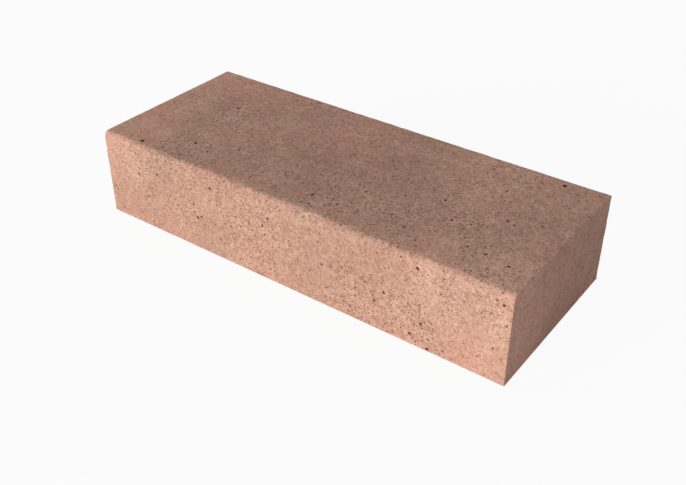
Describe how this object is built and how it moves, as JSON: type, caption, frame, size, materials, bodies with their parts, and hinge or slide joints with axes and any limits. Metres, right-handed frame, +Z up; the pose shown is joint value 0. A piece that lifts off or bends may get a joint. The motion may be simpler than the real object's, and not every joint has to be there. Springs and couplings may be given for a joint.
{
  "type": "concrete step block",
  "caption": "Solid rectangular precast concrete block with a rounded front tread edge, laid as a step in a garden flight.",
  "frame": {"origin": "centre of the underside, on the bed that the block is laid on", "axes": "+X along the block's length, +Y from the riser with the rounded upper edge towards the back face, +Z up"},
  "size_m": [1, 0.4, 0.2],
  "materials": {
    "concrete": "matte"
  },
  "bodies": {
    "root": {"step_block": "concrete"}
  },
  "joints": []
}
